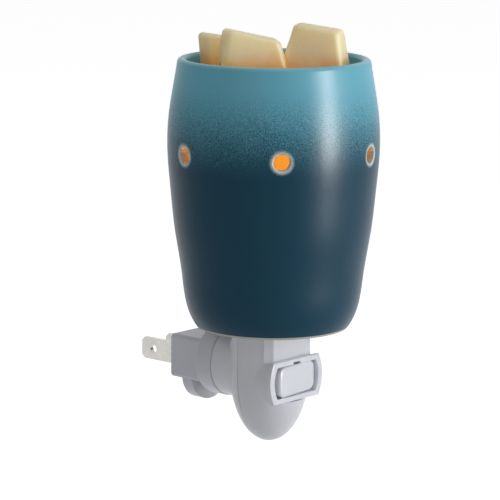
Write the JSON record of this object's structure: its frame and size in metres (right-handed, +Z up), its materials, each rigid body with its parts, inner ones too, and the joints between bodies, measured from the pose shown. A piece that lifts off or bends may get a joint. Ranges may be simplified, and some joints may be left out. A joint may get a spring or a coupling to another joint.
{
  "type": "wax melt warmer",
  "caption": "Plug-in wax melt warmer: a glazed ceramic barrel with a dish of wax melts on a swivel plug with a rocker switch and a small lamp.",
  "frame": {"origin": "centre of the plug's flat back face, between the two blades", "axes": "+Y out of the back face along the blades into the wall, +Z up along the lamp's axis, +X to the right seen from in front"},
  "size_m": [0.075, 0.0951, 0.1501],
  "materials": {
    "plug_plastic": "satin moulded",
    "nickel_plated_brass": "nickel plated",
    "spring_steel": "bright",
    "housing_plastic": "satin moulded",
    "switch_plastic": "polished",
    "screw_steel": "zinc plated",
    "phenolic_board": "matt moulded",
    "contact_brass": "stamped",
    "live_wire": "extruded",
    "neutral_wire": "extruded",
    "holder_plastic": "moulded",
    "lamp_glass": "blown, frosted inside, lit",
    "stem_glass": "pressed",
    "cap_aluminium": "rolled",
    "black_glass": "glossy",
    "solder": "dull",
    "tungsten": "glowing",
    "teal_glaze": "satin speckled glaze, pale teal above and dark teal below",
    "cream_wax": "waxy"
  },
  "bodies": {
    "plug": {"plug_body": "plug_plastic", "live_blade": "nickel_plated_brass", "neutral_blade": "nickel_plated_brass", "plug_retaining_ring": "spring_steel"},
    "base": {"rear_housing": "housing_plastic", "front_housing": "housing_plastic", "housing_screws": "screw_steel", "switch_bezel": "switch_plastic", "switch_case": "phenolic_board", "line_terminal": "contact_brass", "load_terminal": "contact_brass", "contact_carrier": "phenolic_board", "live_contact_arc": "contact_brass", "neutral_contact_arc": "contact_brass", "live_lead": "live_wire", "switched_lead": "live_wire", "neutral_lead": "neutral_wire", "lamp_holder": "holder_plastic", "lamp_screw_shell": "contact_brass", "lamp_centre_contact": "contact_brass"},
    "rocker": {"switch_rocker": "switch_plastic", "rocker_plunger": "contact_brass", "rocker_spring": "spring_steel"},
    "lever": {"contact_lever": "contact_brass"},
    "bulb": {"bulb_glass": "lamp_glass", "bulb_screw_cap": "cap_aluminium", "bulb_insulator": "black_glass", "bulb_tip_contact": "solder", "bulb_stem": "stem_glass", "bulb_filament": "tungsten"},
    "shade": {"ceramic_shade": "teal_glaze", "dish_floor_disc": "teal_glaze", "wax_melt_left": "cream_wax", "wax_melt_middle": "cream_wax", "wax_melt_right": "cream_wax"}
  },
  "joints": [
    {"name": "plug_swivel", "type": "hinge", "parent": "plug", "child": "base", "pos_m": [0, -0.0242, 0], "axis": [0, 1, 0], "range_deg": [0, 90]},
    {"name": "switch_rock", "type": "hinge", "parent": "base", "child": "rocker", "pos_m": [0, -0.0452, -0.0027], "axis": [0, 0, 1], "range_deg": [-12, 0]},
    {"name": "contact_rock", "type": "hinge", "parent": "base", "child": "lever", "pos_m": [0, -0.0412, -0.0027], "axis": [0, 0, 1], "range_deg": [0, 6]},
    {"name": "bulb_unscrew", "type": "slide", "parent": "base", "child": "bulb", "axis": [0, 0, 1], "range_m": [0, 0.0076]},
    {"name": "shade_lift", "type": "slide", "parent": "base", "child": "shade", "axis": [0, 0, 1], "range_m": [0, 0.065]}
  ],
  "couplings": [
    {"joint": "contact_rock", "follows": "switch_rock", "ratio": -0.5}
  ]
}
